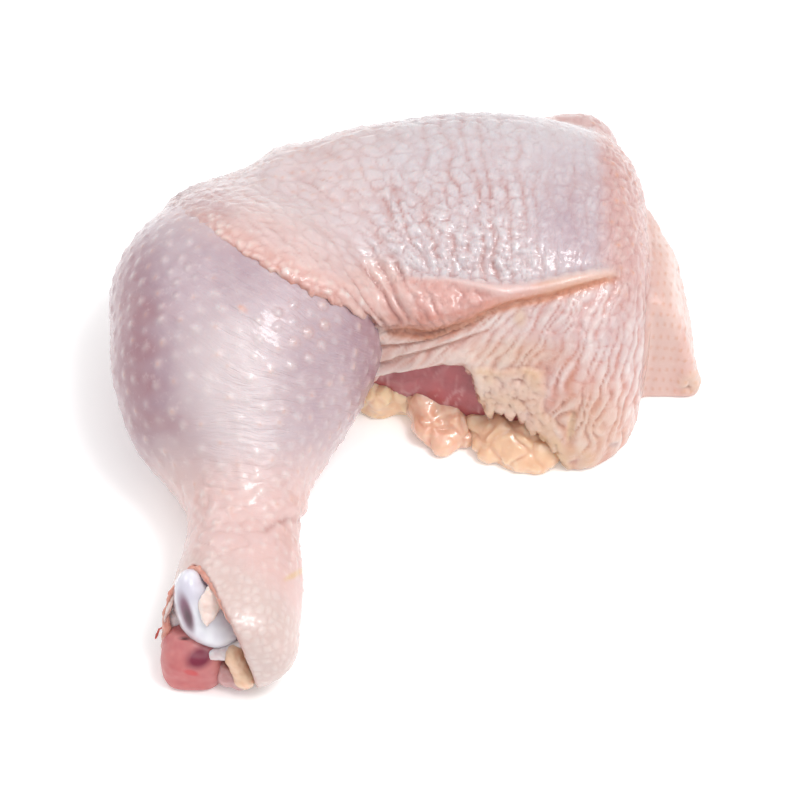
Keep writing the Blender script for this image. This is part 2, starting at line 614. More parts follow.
def relief_drumstick(p, n):
    """Follicles and fine lines, the ankle's scales and the neck's folds."""
    x, y, z = p
    a, b = sloped(p)
    d, k = nearest(follicle_rows(), p.T)
    grow = 0.72 + 0.28 * np.sin(k * 2.399)
    leg = ramp(y, -52, -40) * (1 - 0.8 * ramp(y, 30, 44))
    calm = 1 - 0.7 * spot(a, b, (-33, 36), (12, 6), 0.5, -30) - 0.2 * spot(a, b, (-36, 9), (7, 15))
    bump = bell(d / 0.92) * leg * calm * grow
    proud = spot(a, b, (-22, 24), (7, 6), 0.5) * grow ** 2      # open pores with pink rims
    ring = bell((d - 1.15) / 0.35) * proud
    # fine lines across the taut skin, parallel to the thigh's edge and flatter lower down
    tilt = 0.08 + 0.50 * ramp(b, 4, 26)
    across = b + tilt * (a + 30) + 0.5 * noise(p, 6.0, 5)
    flow = np.stack([across, a * 0.16, z * 0.1])
    taut = unit(spot(a, b, (-27, 27), (17, 9), 0.5, -32)
                + 0.9 * spot(a, b, (-32, 6), (11, 16), 0.6)
                + 0.7 * spot(a, b, (-13, 12), (8, 14), 0.6) + 0.15)
    streak = noise(flow, (0.75, 1.0, 3.0), 6, 2)
    broad = noise(p, 10.0, 8, 2)
    grain = noise(p, 1.3, 3, 2)
    # polygon scales of the ankle, and loose folds and specks on the neck above it
    ankle = fall(y + 0.5 * (x + 36), -60, -50)
    near, far = cells(p + 0.25 * noise(p, 3.0, 12), 2.0, 11, 0.7)
    scales = ramp(far - near, 0.0, 0.5) * unit(1.15 - near * near)
    neck = ramp(y, -58, -50) * fall(y, -36, -24)
    loose = creases(slope_frame(p, -8) + 0.8 * noise(p, 4.0, 22), (9.0, 3.6, 6.0), 23, 0.25)
    knobs = scattered(p.T[(y < -26) & (y > -58)], 2.8, 5)
    dk, kk = nearest(knobs, p.T)
    knob = bell(dk / 0.62) * ramp(-y, 30, 38) * fall(-y, 52, 60) * (kk % 3 > 0)
    # the doubled skin on the neck's right side
    fold = -16.2 + 0.22 * (a + 24) + 0.5 * np.sin(a * 0.9)
    fold_on = ramp(a, -33, -28) * (z > 4)
    pucker = bell((b - fold + 0.9) / 0.7) * fold_on
    bulge = bell((b - fold - 1.6) / 1.9) * fold_on * ramp(a, -30, -25)
    h = (0.32 * bump * (1 + 0.4 * ramp(a, -34, -20)) - 0.12 * ring + 0.08 * streak * taut
         + 0.03 * grain + 0.22 * broad * leg + 0.15 * (scales - 0.6) * ankle
         + 0.14 * (loose - 0.8) * neck + 0.22 * knob
         + 0.75 * bulge - 0.30 * pucker + 0.14 * noise(p, 3.0, 9, 2) * neck)
    blotch = noise(p, (8.0, 5.0, 8.0), 31, 2)
    bands = sum(spot(a, b, c, (r, 2.3), 0.8, -4) for c, r in
                (((-57, 27.6), 7), ((-57.5, 19.5), 6), ((-57, 11.5), 6), ((-54.5, 3.5), 6)))
    light = spot(a, b, (-36.5, 11), (8.5, 17), 0.7, 8)
    lower = ramp(-b, -4, 12)
    cut = ramp(-drumstick(p), 0.25, 0.6)
    return h, {"flow": flow.T, **clipped(
        taut=taut,
        mauve=(0.50 + 0.22 * spot(a, b, (-44, 33), (16, 9), 0.6)
               + 0.45 * spot(a, b, (-59, 14), (8, 26), 0.6)
               + 0.45 * spot(a, b, (-6, 22), (7, 12), 0.7)
               + 0.14 * spot(a, b, (-16, 12), (8, 16), 0.7)
               - 0.46 * light - 0.44 * lower + 0.16 * blotch),
        patch=(0.60 * bands + 0.9 * spot(a, b, (-61.5, 16), (6.5, 30), 0.6)
               + 0.35 * spot(a, b, (-6.5, 24), (4, 5), 0.8)),
        pale=(0.36 * bump + 0.10 * light + 0.10 * unit(streak) * taut
              + (0.2 + 0.20 * scales) * ankle + 0.40 * knob + 0.12 * unit(blotch)),
        peach=(0.15 * fall(curve(a, LIP, 1) - b, -1, 4) * fall(a, -44, -32)
               + 0.80 * ramp(-b, -2, 14) * (1 - 0.65 * ankle) + 0.2 * bump * (k % 3 == 0)),
        valley=((1 - scales) * ankle * 0.34 + (1 - loose) * neck * 0.20 + 0.55 * ring
                + 0.70 * pucker + 0.14 * bell((d - 1.5) / 0.5) * leg * calm * ramp(a, -36, -24)
                + 0.25 * spot(a, b, (-50, -3), (6, 9), 0.7)),
        dots=(0.4 * bell(d / 0.4) * (k % 3 == 0) * leg * calm
              + 0.5 * spot(a, b, (-34.8, 27.6), (1.1, 0.6), 0.6, -35)),
        yellow=1.1 * spot(a, b, (-23.4, -28.2), (2.2, 0.6), 0.4, 22) + 0.16 * ankle,
        raw=cut + 0.75 * fall(-cuff(p), 0.15, 0.8))}


def relief_thigh(p, n):
    """Creases, folds and pimples, each in its own zone of the thigh."""
    x, y, z = p
    a, b = sloped(p)
    s = slope_frame(p)[2]
    above = b - curve(a, FOLD, 1)
    up, down = curve(a, FOLD, 2), curve(a, FOLD, 3)
    front = (y < 34) | (b < 40)
    fold_on = ramp(a, -12, -7) * fall(a, 43, 48) * front
    roll_on = fold_on * ramp(above, -down - 0.4, -down + 0.6) * fall(above, up - 2.0, up + 0.6)
    below = fold_on * fall(above, -down - 1.0, -down + 0.4)
    below = np.maximum(below, ramp(a, 41, 46) * fall(b, 24, 36) * front)
    crease = curve(a, CREASE, 1)
    ridge = curve(a, RIDGE, 1)
    swag = roll_on * fall(a, 14, 23) * fall(b, ridge - 1.4, ridge - 0.2)
    lip_gap = b - curve(a, LIP, 1)
    lip = fall(lip_gap, 1.5, 8.0) * ramp(a, -54, -40) * fall(a, -8, 0)
    lip_edge = bell((lip_gap - 0.8) / 1.0) * ramp(a, -50, -40) * fall(a, -8, -3)
    lobes = spot(a, b, (-6.0, 30.0), (7.5, 8.0), 0.4)
    flap_on = ramp(x, 52.8, 54.6) * fall(z, 30, 35) * fall(y, 36, 44)
    tail_on = ramp(y, 66, 71) * ramp(x, 22, 32)
    facing = n[1] * math.sin(TILT) + n[2] * math.cos(TILT)
    under = ramp(-facing, 0.05, 0.6) * front * ramp(b, 12, 17) * fall(a, 36, 42) * (z > 3)
    top = (1 - roll_on) * (1 - below) * (1 - flap_on) * (1 - tail_on)
    left = top * fall(a, -16, 2)
    dome = top * ramp(a, -16, 0) * fall(a, 40, 50)
    high = ramp(b, 53, 63)
    calm = spot(a, b, (34.5, 45.5), (6.0, 8.0), 0.7, 25)
    strip = top * ramp(a, 41, 47)
    wall = unit(below * (1 - flap_on))

    # the skin's creases follow lines that fan out over the thigh and sweep down its front
    lower = ramp(a, -12, -8) * ramp(-(above + down) / (0.8 + 7 * ramp(a, 38, 46)), -1, 1)
    foot = a
    for _ in range(6):
        fan = np.interp(foot, (-60, -30, -12, 0, 15, 35, 48), (1.5, 1.3, 0.85, 0.5, 0.15, -0.08, -0.22))
        sweep = np.interp(foot, (-10, 10, 20, 32, 44, 56), (2.4, 1.6, 1.15, 0.65, 0.30, 0.1))
        foot = foot + 0.55 * (a + (fan * (1 - lower) - sweep * lower) * (b - 32) - foot)
    w = np.stack([noise(p, 5.0, 41 + i) for i in range(3)])
    lines = foot + 0.4 * w[0]
    along = b + 0.4 * w[1]
    flow = np.stack([lines, along * 0.30, s * 0.3])
    q = np.stack([lines, along, s])
    fade = ramp(noise(q, (6.0, 11.0, 12.0), 52), -0.5, 0.3)
    furrow = (1 - ripples(q, 2.9, 53, 0.5, 0.6)) * (0.3 + 0.7 * fade)
    near, far = cells(q, (2.5, 3.3, 6.0), 55, 0.9)
    net = ramp(far - near, 0.0, 0.28) * unit(1.05 - 0.3 * near ** 2)
    fine = creases(q, (1.15, 1.9, 5.0), 56, 0.45)
    upright = noise(q, (0.8, 9.0, 8.0), 57, 2)
    fade2 = np.clip(0.65 + 0.7 * noise(q, (3.0, 7.0, 9.0), 59), 0.15, 1)
    pleat = (ripples(q, 1.7, 62, 0.8, 0.8) - 0.55) * fade2 * 1.6
    long_c = 1 - (1 - ripples(q, 3.7, 58, 0.8, 0.6)) * unit(0.5 + noise(q, (6, 8, 9), 60))
    pimples = scattered(p.T[(z > 1) & (a < 4)], 2.2, 9)
    dp, kp = nearest(pimples, p.T)
    pimple = bell(dp / 0.62) * (0.45 + 0.55 * np.sin(kp * 2.4))
    specks = scattered(p.T[(x > 40) & (z > 0.5)], 2.5, 12)
    dq, kq = nearest(specks, p.T)
    knob = bell(dq / 0.75)
    puff = plates(p + 0.7 * w, (2.6, 2.3, 2.6), 63, 0.45)
    hang = ripples(np.stack([lines, along * 0.6, s]), 3.3, 64, 0.6, 0.8)
    knead = creases(q, (3.0, 4.5, 5.0), 65, 0.5)

    # loose folds over the cut, each lapping over the one below it
    f2, f3, f4 = (curve(a, t, 1) for t in (FOLD_2, FOLD_3, RAGGED))
    band_on = wall * ramp(a, -12, -7) * fall(a, 13, 21) * (b < crease + 1)
    lap, lines_at = 0.0, 0.0
    for hi, lo in ((crease, f2), (f2, f3), (f3, f4)):
        t = (hi - b) / np.maximum(hi - lo, 0.8)
        lap = lap + np.where((t > 0) & (t <= 1), np.sin(math.pi * unit(t) ** 1.6), 0)
        lines_at = lines_at + bell((b - lo) / 0.35)

    # the torn, grainy fat beside the cut
    side = 30.4 + 0.45 * np.clip(8 - b, 0, 20) + 1.1 * w[0]
    brink = 15.4 + 1.0 * w[1]
    torn = (wall * ramp(a, 12.2, 13.6) * fall(a, side - 1.6, side + 0.8)
            * fall(b, brink - 1.2, brink + 0.6))
    seam = (bell((a - side) / 0.5) * (b < brink + 0.5) * (b > 2)
            + bell((b - brink) / 0.45) * (a < side) * (a > 14)) * wall
    near, _ = cells(p + 0.8 * w, 3.4, 67)
    grains = np.sqrt(unit(1 - near ** 2 * 1.3))
    near2, _ = cells(p + 0.2 * w, 1.15, 68)
    small_grains = np.sqrt(unit(1 - near2 ** 2 * 1.4))
    groove = np.exp(-(np.hypot((a - 36.3 - 0.1 * (b - 2)) / 0.8, (b - 2.2) / 3.2)) ** 4) * wall
    lumpy = spot(a, b, (38.5, -5.0), (4.5, 2.6), 0.5, -20) * wall
    # flap: rows of small dots, puckered at its end and along its right side
    rows = 0.5 + 0.5 * np.cos(2 * math.pi * (b + 0.06 * a + 0.35 * w[0]) / 2.35)
    cols = 0.5 + 0.5 * np.cos(2 * math.pi * (a - 0.20 * b + 0.35 * w[1]) / 1.75)
    dot = ramp(rows * cols, 0.35, 0.95)
    rim = ramp(x, 59.5, 63.0) * fall(z, 30, 34)
    tip = spot(a, b, (65.5, 12.5), (3.0, 2.4), 0.5)
    root = bell((x - 53.6) / 0.9) * fall(z, 32, 37) * (y < 38) * wall

    broad, grain = noise(p, 11.0, 81, 2), noise(p, 1.0, 82, 2)
    body = dome * (1 - 0.45 * high) * (1 - 0.45 * calm)
    right = ramp(a, 22, 32)
    hem = above + down                          # height above the fold's lower edge
    plain_wall, plain_left, coarse = wall * (1 - torn), left * (1 - lip), strip + tail_on
    dips, crests = unit(-pleat), unit(pleat)

    h = (0.22 * broad + 0.03 * grain
         + 1.9 * bell((a + 29.5) / 5.5) * ramp(b, 53, 60) * (x < -10)
         - 1.4 * flap_on * spot(a, b, (57.5, 48), (5, 4), 0.7)
         # dome: a net of creases, fine folds and furrows, calmer on the right
         + body * (0.36 * (net - 0.7) + 0.34 * (fine - 0.7) - 0.50 * furrow) * (1 - 0.50 * right)
         + body * right * 0.12 * upright + dome * 0.05 * upright
         # left of the dome, the skin's edge over the drumstick and the lobes where it ends
         + plain_left * (0.26 * (long_c - 0.8) + 0.20 * (net - 0.7) + 0.26 * pimple)
         + lip * (1 - lobes) * (0.30 * (puff - 0.6) + 0.34 * pimple) + lobes * 0.9 * (hang - 0.5)
         # rolled fold: its wide kneaded part, the ridge across it, its lower edge
         + swag * (1 - lobes) * (0.40 * (knead - 0.6) + 0.24 * (fine - 0.6)
                                 + 0.45 * noise(p, 2.8, 69, 2))
         + 0.75 * bell((b - ridge) / 0.9) * roll_on * ramp(a, 0, 6) * fall(a, 17, 24)
         - 0.55 * bell((b - ridge + 2.1) / 1.1) * roll_on * ramp(a, 0, 6) * fall(a, 15, 22)
         + roll_on * 0.10 * noise(p, 2.2, 83, 2)
         - 0.25 * bell((hem + 0.6) / 0.6) * fold_on
         # wall: pleats, the loose folds over the cut, the torn patch, the lumps at its foot
         + plain_wall * (1 - 0.6 * band_on) * (1 - lumpy)
         * (0.30 * pleat * (1 + 0.8 * spot(a, b, (40, 2), (12, 12), 0.6)) + 0.26 * (long_c - 0.8)
            + 0.14 * (net - 0.7) + 0.14 * (fine - 0.7))
         + band_on * (1.25 * lap - 0.45 + 0.20 * (net - 0.6))
         + torn * (0.9 * (grains - 0.5) + 0.60 * (small_grains - 0.6)
                   + 0.35 * noise(p, 2.0, 70, 2) + 0.2)
         - 0.3 * seam - 0.9 * groove
         + lumpy * (0.9 * (grains - 0.5) + 0.2 * (small_grains - 0.5))
         # right-hand strip, bunched corner and flap
         + (strip + 0.8 * tail_on) * (0.22 * pleat + 0.24 * knob + 0.16 * (net - 0.7))
         + flap_on * (0.10 * dot + 0.10 * noise(p, 2.6, 84, 2)) + 0.75 * rim * (grains - 0.4)
         - 0.7 * root + tip * 0.8 * (grains - 0.3))

    # masks, each a sum over the same zones in the same order
    crack = (0.22 * fall(a, -46, -32) * fall(lip_gap, 3, 16)
             + body * (furrow + 0.38 * (1 - net) + 0.12 * (1 - fine)) * (1 - 0.55 * right)
             + plain_left * (0.55 * (1 - long_c) + 0.30 * (1 - net)) + lip * (1 - puff) * 0.4
             + lobes * unit(0.5 - hang) * 1.2
             + plain_wall * (0.08 * ramp(a, 20, 30) + 0.15 * dips
                             + 0.10 * (1 - long_c) + 0.06 * (1 - net))
             + coarse * (0.16 + 0.5 * dips + 0.4 * (1 - net))
             + band_on * lines_at * 0.45 + swag * (0.5 * (1 - knead) + 0.2 * (1 - fine))
             + 0.4 * seam + 0.7 * root + 0.8 * bell((hem + 0.5) / 0.7) * fold_on
             - 0.5 * band_on * (1 - torn) * dips + torn * (1 - small_grains) * 0.16)
    pale = (body * net * 0.30 * fine * (1 - furrow) + left * (0.30 * pimple + 0.10)
            + lip * pimple * 0.8 + 0.2 * lip * puff + lobes * unit(hang) * 0.35
            + swag * 0.35 * unit(noise(p, 2.4, 71, 2))
            + plain_wall * (0.85 * crests + 0.20 * long_c * net + 0.25 * fall(a, 22, 30))
            + band_on * 0.5 * lap + 0.12 * roll_on * (1 - swag)
            + torn * (0.10 + 0.50 * small_grains) + 0.30 * knob * coarse
            + 0.12 * unit(broad) + 0.25 * tip + 0.25 * flap_on * (1 - rim))
    peach = (torn + 0.55 * spot(a, b, (-28, 41), (18, 7), 0.7, -30)
             + 0.62 * lip * ramp(a, -50, -38) + 0.85 * lobes + 0.85 * roll_on + 0.15 * swag
             + 0.35 * band_on + wall * (0.32 + 0.45 * spot(a, b, (10, 19), (14, 8), 0.6)
                                        + 1.1 * spot(a, b, (40, 0), (13, 13), 0.6))
             + flap_on + 0.75 * strip + 0.45 * tail_on + 0.10 * left + 0.02)
    flesh = (0.6 * under + 0.35 * lip * ramp(a, -34, -20) + 0.60 * lip_edge
             + 0.65 * lip * (1 - puff) + 0.57 * lobes + 0.45 * lobes * unit(0.4 - hang)
             + swag * (0.55 + 0.45 * (1 - knead) + 0.25 * noise(p, 4.0, 72))
             + 0.75 * bell((hem + 0.5) / 0.8) * fold_on + 0.45 * band_on * lines_at
             + plain_wall * (0.60 * dips + 0.40 * (1 - long_c) + 0.25 * (1 - net))
             + wall * (0.14 * ramp(a, 20, 30) + 0.85 * spot(a, b, (38, 1), (12, 11), 0.7)
                       + 0.45 * spot(a, b, (2, 21), (12, 6), 0.7))
             + torn * (0.24 + 0.55 * (1 - grains) + 0.3 * ramp(a, 20, 30))
             + 0.5 * seam * (b > 12) + 0.22 * coarse + 0.24 * flap_on)
    mauve = (0.30 * spot(a, b, (44, -6), (9, 7), 0.6) * wall
             + 0.35 * spot(a, b, (24, 50), (34, 18), 0.6) * top
             + 0.75 * spot(a, b, (38, 50), (10, 14), 0.6) * top
             + left * spot(a, b, (-47, 50), (9, 7), 0.7) + 0.50 * calm * top + 1.6 * strip
             + wall * (1 - band_on) * (0.50 * ramp(a, 16, 30)
                                       + 0.45 * spot(a, b, (36, 25), (14, 8), 0.7)
                                       + 0.30 * spot(a, b, (48, 16), (5, 12), 0.7)
                                       + 0.45 * spot(a, b, (3, 16), (9, 2.5), 0.7))
             + 0.55 * ramp(y, 52, 62) * (1 - tail_on))
    red_pimple = bell(dp / 0.5) * (kp % 3 == 0)
    dots = (0.25 * under + 1.1 * bell(hem + 0.4) * fold_on * ramp(a, -7, 0)
            + plain_wall * dips * (0.35 + 0.6 * spot(a, b, (40, 3), (12, 13), 0.7))
            + 0.45 * bell((b - crease) / 0.8) * wall * ramp(a, -9, -5) * fall(a, 26, 34)
            + 0.5 * band_on * lines_at + flap_on * dot * 0.6
            + red_pimple * 0.45 * left * ramp(b, 44, 56) + 0.35 * red_pimple * lip
            + bell(dq / 0.55) * (kq % 3 == 0) * 0.75 * coarse
            + 0.5 * roll_on * spot(a, b, (30, 33.6), (2.5, 0.5), 0.7, 10)
            + 0.9 * roll_on * bell((hem + 0.3) / 0.6) * spot(a, b, (25, 31), (8, 3), 0.6))
    yellow = (0.14 * flap_on + 0.42 * wall * spot(a, b, (39, 0), (10, 10), 0.7)
              + torn * (0.36 + 0.25 * grains + 0.35 * np.clip(w[2], -0.5, 1))
              + 0.9 * groove + 0.35 * lumpy * grains
              + 0.5 * wall * spot(a, b, (24.6, 26.1), (1.3, 1.8), 0.7)
              + 0.30 * roll_on * ramp(a, 24, 34) + 0.35 * tip
              + 0.35 * wall * spot(a, b, (24, 18), (9, 3), 0.8))
    return h, {"flow": flow.T, **clipped(
        taut=0.30 * top + 0.25 * dome + 0.55 * plain_wall + 0.35 * roll_on + 0.4 * strip,
        mauve=(mauve * 0.55 * (0.85 + 0.3 * broad)
               + 0.95 * fall(a, -48, -30) * fall(lip_gap, 3, 16)),
        patch=spot(a, b, (46.4, -1.6), (1.1, 0.7), 0.6, 25) * (y < 20),
        cool=0.8 * dome + 0.35 * wall * ramp(a, 20, 34) * fall(a, 46, 52),
        pale=pale, peach=peach, flesh=flesh, valley=crack, dots=dots, yellow=yellow,
        raw=(pocket(p) < 0.5) * (thigh(p) < -0.8) * (z > 0.2))}


def relief_meat(p, n):
    """Muscle fibres, and the white streaks of the film over them."""
    fibre = noise(slope_frame(p, 52), (7.0, 0.9, 5.0), 91, 2)
    film = noise(slope_frame(p, 62) + 0.8 * noise(p, 6.0, 92), (22.0, 2.4, 9.0), 93, 1)
    streak = fall(np.abs(film), 0.0, 0.20)
    h = 0.10 * fibre + 0.35 * noise(p, 6.0, 94, 2) + 0.14 * streak
    return h, clipped(streak=streak * (0.6 + 0.6 * noise(p, 6.0, 95)),
                      dark=0.5 + 0.6 * noise(p, 5.0, 96, 2) + 0.5 * ramp(p[0], 10, 20))


def relief_fat(p, n):
    """Soft lobes of fat parted by creases."""
    q = p + 1.6 * np.stack([noise(p, 5.0, 101 + i) for i in range(3)])
    near, far = cells(q, 6.0, 104)
    lobes = ramp(far - near, 0.0, 0.4)
    h = 0.60 * (lobes - 0.6) + 0.14 * noise(p, 1.6, 105, 2) + 0.55 * noise(p, 5.0, 106, 2)
    return h, clipped(crease=fall(far - near, 0.0, 0.22) * 0.7,
                      tone=0.5 + 0.7 * noise(p, 4.0, 107, 2),
                      grains=0.5 + 0.8 * noise(p, 1.6, 108, 2))


def relief_joint(p, n):
    """Smooth gristle with a bruised dip on its left side."""
    a, b = sloped(p)
    dark = spot(a, b, (-45.7, -35.8), (1.3, 4.0), 0.5, 14)
    return 0.14 * noise(p, 4.0, 111, 2) - 0.30 * dark, clipped(
        dark=dark, core=spot(a, b, (-45.4, -36.8), (0.7, 2.2), 0.7, 14),
        tone=(0.2 + 0.5 * noise(p, 3.0, 112, 2)
              + 0.8 * spot(a, b, (-44.8, -31.0), (3.5, 4.5), 0.8)))


def relief_cap(p, n):
    """Soft gristle with a dark slit, a stain and a red spot."""
    a, b = sloped(p)
    slit = bell(np.hypot((a + 46.4) / 1.0, (b + 41.4) / 0.32))
    red = spot(a, b, (-45.0, -48.6), (1.2, 0.55), 0.7, -12)
    low = spot(a, b, (-47.5, -50.5), (6.5, 3.2), 0.7, -12)
    return 0.20 * noise(p, 3.4, 121, 2) - 0.5 * slit, clipped(
        slit=slit, stain=1.3 * spot(a, b, (-43.2, -45.4), (2.4, 1.8), 0.7, 30),
        red=1.2 * red + 0.40 * low, tone=0.5 + 0.6 * noise(p, 2.5, 122, 2))


def relief_small(p, n):
    """Uneven small pieces of tissue."""
    return 0.26 * noise(p, 1.8, 131, 2), clipped(tone=0.5 + 0.7 * noise(p, 1.4, 132, 2))


# ---------------------------------------------------------------- materials

def linear(code):
    """An sRGB hex colour as a linear RGBA value."""
    out = []
    for i in (1, 3, 5):
        c = int(code[i:i + 2], 16) / 255
        out.append(c / 12.92 if c <= 0.04045 else ((c + 0.055) / 1.055) ** 2.4)
    return (*out, 1.0)


class Tree:
    """A material's node tree, with one call for each node."""

    def __init__(self, name):
        """Makes an empty material."""
        self.material = bpy.data.materials.new(name)
        self.material.use_nodes = True
        self.nodes = self.material.node_tree.nodes
        self.links = self.material.node_tree.links
        self.nodes.clear()

    def add(self, kind, sockets=None, **settings):
        """Adds a node with its links, socket values and settings."""
        node = self.nodes.new(kind)
        for key, value in settings.items():
            setattr(node, key, value)
        for key, value in (sockets or {}).items():
            if isinstance(value, bpy.types.NodeSocket):
                self.links.new(value, node.inputs[key])
            else:
                node.inputs[key].default_value = value
        return node

    def mask(self, name):
        """A piece's stored mask."""
        return self.add("ShaderNodeAttribute", attribute_name=name).outputs["Fac"]

    def place(self):
        """The place on the object."""
        return self.add("ShaderNodeTexCoord").outputs["Object"]

    def mix(self, base, top, factor, how="MIX"):
        """Lays one colour over another."""
        if isinstance(base, str):
            base = linear(base)
        if isinstance(top, str):
            top = linear(top)
        node = self.add("ShaderNodeMix", {0: factor, 6: base, 7: top},
                        data_type="RGBA", blend_type=how)
        return node.outputs[2]

    def tint(self, colour, *layers):
        """Lays shades over a colour, each as strong as its mask times its weight."""
        for shade, mask, weight in layers:
            colour = self.mix(colour, shade, self.math("MULTIPLY", self.mask(mask), weight))
        return colour

    def math(self, how, a, b=0.5):
        """One operation on two values."""
        return self.add("ShaderNodeMath", {0: a, 1: b}, operation=how).outputs[0]

    def span(self, value, lo, hi, to_lo=0.0, to_hi=1.0):
        """Maps one range of values to another."""
        return self.add("ShaderNodeMapRange", {0: value, 1: lo, 2: hi, 3: to_lo, 4: to_hi},
                        clamp=True).outputs[0]

    def grain(self, size_mm, detail=3.0, rough=0.55, warp=0.0):
        """Noise whose grain is about the given size."""
        return self.add("ShaderNodeTexNoise",
                        {"Vector": self.place(), "Scale": 1 / (size_mm * MM), "Detail": detail,
                         "Roughness": rough, "Distortion": warp}).outputs["Fac"]

    def bump(self, height, depth_mm, strength=1.0, normal=None):
        """Relief from a height of 0 to 1; a depth below nought cuts in instead."""
        if depth_mm < 0:
            height, depth_mm = self.math("SUBTRACT", 1.0, height), -depth_mm
        sockets = {"Height": height, "Distance": depth_mm * MM, "Strength": strength}
        if normal is not None:
            sockets["Normal"] = normal
        return self.add("ShaderNodeBump", sockets).outputs["Normal"]

    def finish(self, colour, **sockets):
        """Adds the shader; returns the material."""
        shader = self.add("ShaderNodeBsdfPrincipled", {"Base Color": colour})
        for key, value in sockets.items():
            key = key.replace("_", " ")
            if isinstance(value, bpy.types.NodeSocket):
                self.links.new(value, shader.inputs[key])
            else:
                shader.inputs[key].default_value = value
        self.add("ShaderNodeOutputMaterial", {"Surface": shader.outputs[0]})
        return self.material


def raw_skin(name, line_colour, line_weight, line_depth, crinkle_depth, wet_rough):
    """Moist raw poultry skin: lilac grey and peach, paler on its bumps, warmer in its creases."""
    t = Tree(name)
    blotch = t.grain(7.0, 3.0, 0.6, 0.4)
    fine = t.grain(0.5, 3.0, 0.6)
    speck = t.grain(1.6, 2.0, 0.6)
    flow = t.add("ShaderNodeAttribute", attribute_name="flow").outputs["Vector"]
    # fine crinkles that follow the flow of the skin: dark lines where the noise crosses its middle
    crinkle = t.add("ShaderNodeTexNoise", {"Vector": flow, "Scale": 1 / 1.25, "Detail": 2.5,
                                           "Roughness": 0.55, "Distortion": 0.25}).outputs["Fac"]
    line = t.math("ABSOLUTE", t.math("SUBTRACT", crinkle, 0.5))
    line = t.math("MULTIPLY", t.span(line, 0.0, 0.06, 1.0, 0.0), t.mask("taut"))
    colour = t.tint("#cdbdc0", ("#cbc6cb", "cool", 1.0),
                    ("#a28692", "mauve", t.span(blotch, 0.25, 0.75, 0.75, 1.2)),
                    ("#dcb3ab", "peach", t.span(blotch, 0.3, 0.7, 0.75, 1.0)),
                    ("#cb8f85", "flesh", 1.0), ("#9f7780", "patch", 1.0),
                    ("#b5857f", "valley", 0.75))
    colour = t.mix(colour, line_colour, t.math("MULTIPLY", line, line_weight))
    colour = t.tint(colour, ("#e3d9d4", "pale", 0.85), ("#cc8563", "dots", 0.8),
                    ("#d4b18b", "yellow", 0.85), ("#b37a6e", "raw", 0.8))
    colour = t.mix(colour, "#a8706e", t.math("MULTIPLY", t.span(t.mask("hollow"), 0.55, 1.0), 0.35))
    colour = t.mix(colour, "#f3e4df", t.span(speck, 0.58, 0.8, 0.0, 0.16))
    rough = t.span(t.grain(3.0, 3.0), 0.3, 0.7, 0.36, 0.52)
    normal = t.bump(line, line_depth, 0.7)
    normal = t.bump(crinkle, crinkle_depth, t.span(t.mask("taut"), 0.0, 1.0, 0.10, 0.7), normal)
    normal = t.bump(fine, 0.08, 0.5, normal)
    return t.finish(colour, Roughness=rough, Normal=normal, Subsurface_Weight=0.22,
                    Subsurface_Radius=(1.0, 0.45, 0.35), Subsurface_Scale=0.0008,
                    Specular_IOR_Level=0.5, Coat_Weight=0.8, Coat_Roughness=wet_rough, Coat_IOR=1.4)


def raw_meat():
    """Wet dark leg meat under a thin film with white streaks."""
    t = Tree("raw_meat")
    fibre = t.grain(1.6, 4.0, 0.6, 0.6)
    colour = t.tint("#b6565b", ("#8d3a40", "dark", t.span(fibre, 0.3, 0.7, 0.5, 1.0)),
                    ("#d3a5a6", "streak", 0.6))
    normal = t.bump(fibre, 0.15, 0.5)
    return t.finish(colour, Roughness=0.3, Normal=normal, Subsurface_Weight=0.3,
                    Subsurface_Radius=(1.0, 0.25, 0.2), Subsurface_Scale=0.002,
                    Coat_Weight=0.6, Coat_Roughness=0.1, Coat_IOR=1.38)


def raw_fat(name, base, deep):
    """Wet raw fat: pale yellow lobes, warmer where they meet."""
    t = Tree(name)
    cloud = t.grain(2.5, 3.0, 0.6, 0.5)
    colour = t.tint(base, (deep, "tone", t.span(cloud, 0.3, 0.7, 0.4, 1.0)),
                    ("#cf936e", "crease", 0.45))
    colour = t.mix(colour, "#f0dcc4", t.span(t.mask("grains"), 0.6, 1.0, 0.0, 0.35))
    normal = t.bump(t.grain(0.6, 3.0), 0.10, 0.5)
    return t.finish(colour, Roughness=0.28, Normal=normal, Subsurface_Weight=0.45,
                    Subsurface_Radius=(1.0, 0.6, 0.34), Subsurface_Scale=0.004,
                    Coat_Weight=0.9, Coat_Roughness=0.07, Coat_IOR=1.4)


def joint_gristle():
    """Wet bluish white gristle over the joint, bruised dark on its left side."""
    t = Tree("joint_gristle")
    colour = t.tint("#eeedf4", ("#cfccd8", "tone", 1.0), ("#7c4560", "dark", 0.95),
                    ("#4c2434", "core", 0.9))
    normal = t.bump(t.grain(1.2, 2.0), 0.05, 0.4)
    return t.finish(colour, Roughness=0.22, Normal=normal, Subsurface_Weight=0.5,
                    Subsurface_Radius=(0.9, 0.8, 0.9), Subsurface_Scale=0.004,
                    Coat_Weight=0.8, Coat_Roughness=0.06, Coat_IOR=1.4)


def bloody_gristle():
    """Pink gristle stained red, with a dark slit."""
    t = Tree("bloody_gristle")
    colour = t.tint("#ca8582", ("#b86669", "tone", 1.0), ("#c9494c", "red", 0.95),
                    ("#7c1f3c", "stain", 1.0), ("#3b1418", "slit", 0.9))
    normal = t.bump(t.grain(0.9, 3.0), 0.08, 0.4)
    return t.finish(colour, Roughness=0.42, Normal=normal, Subsurface_Weight=0.45,
                    Subsurface_Radius=(1.0, 0.35, 0.3), Subsurface_Scale=0.002,
                    Coat_Weight=0.2, Coat_Roughness=0.25, Coat_IOR=1.38)


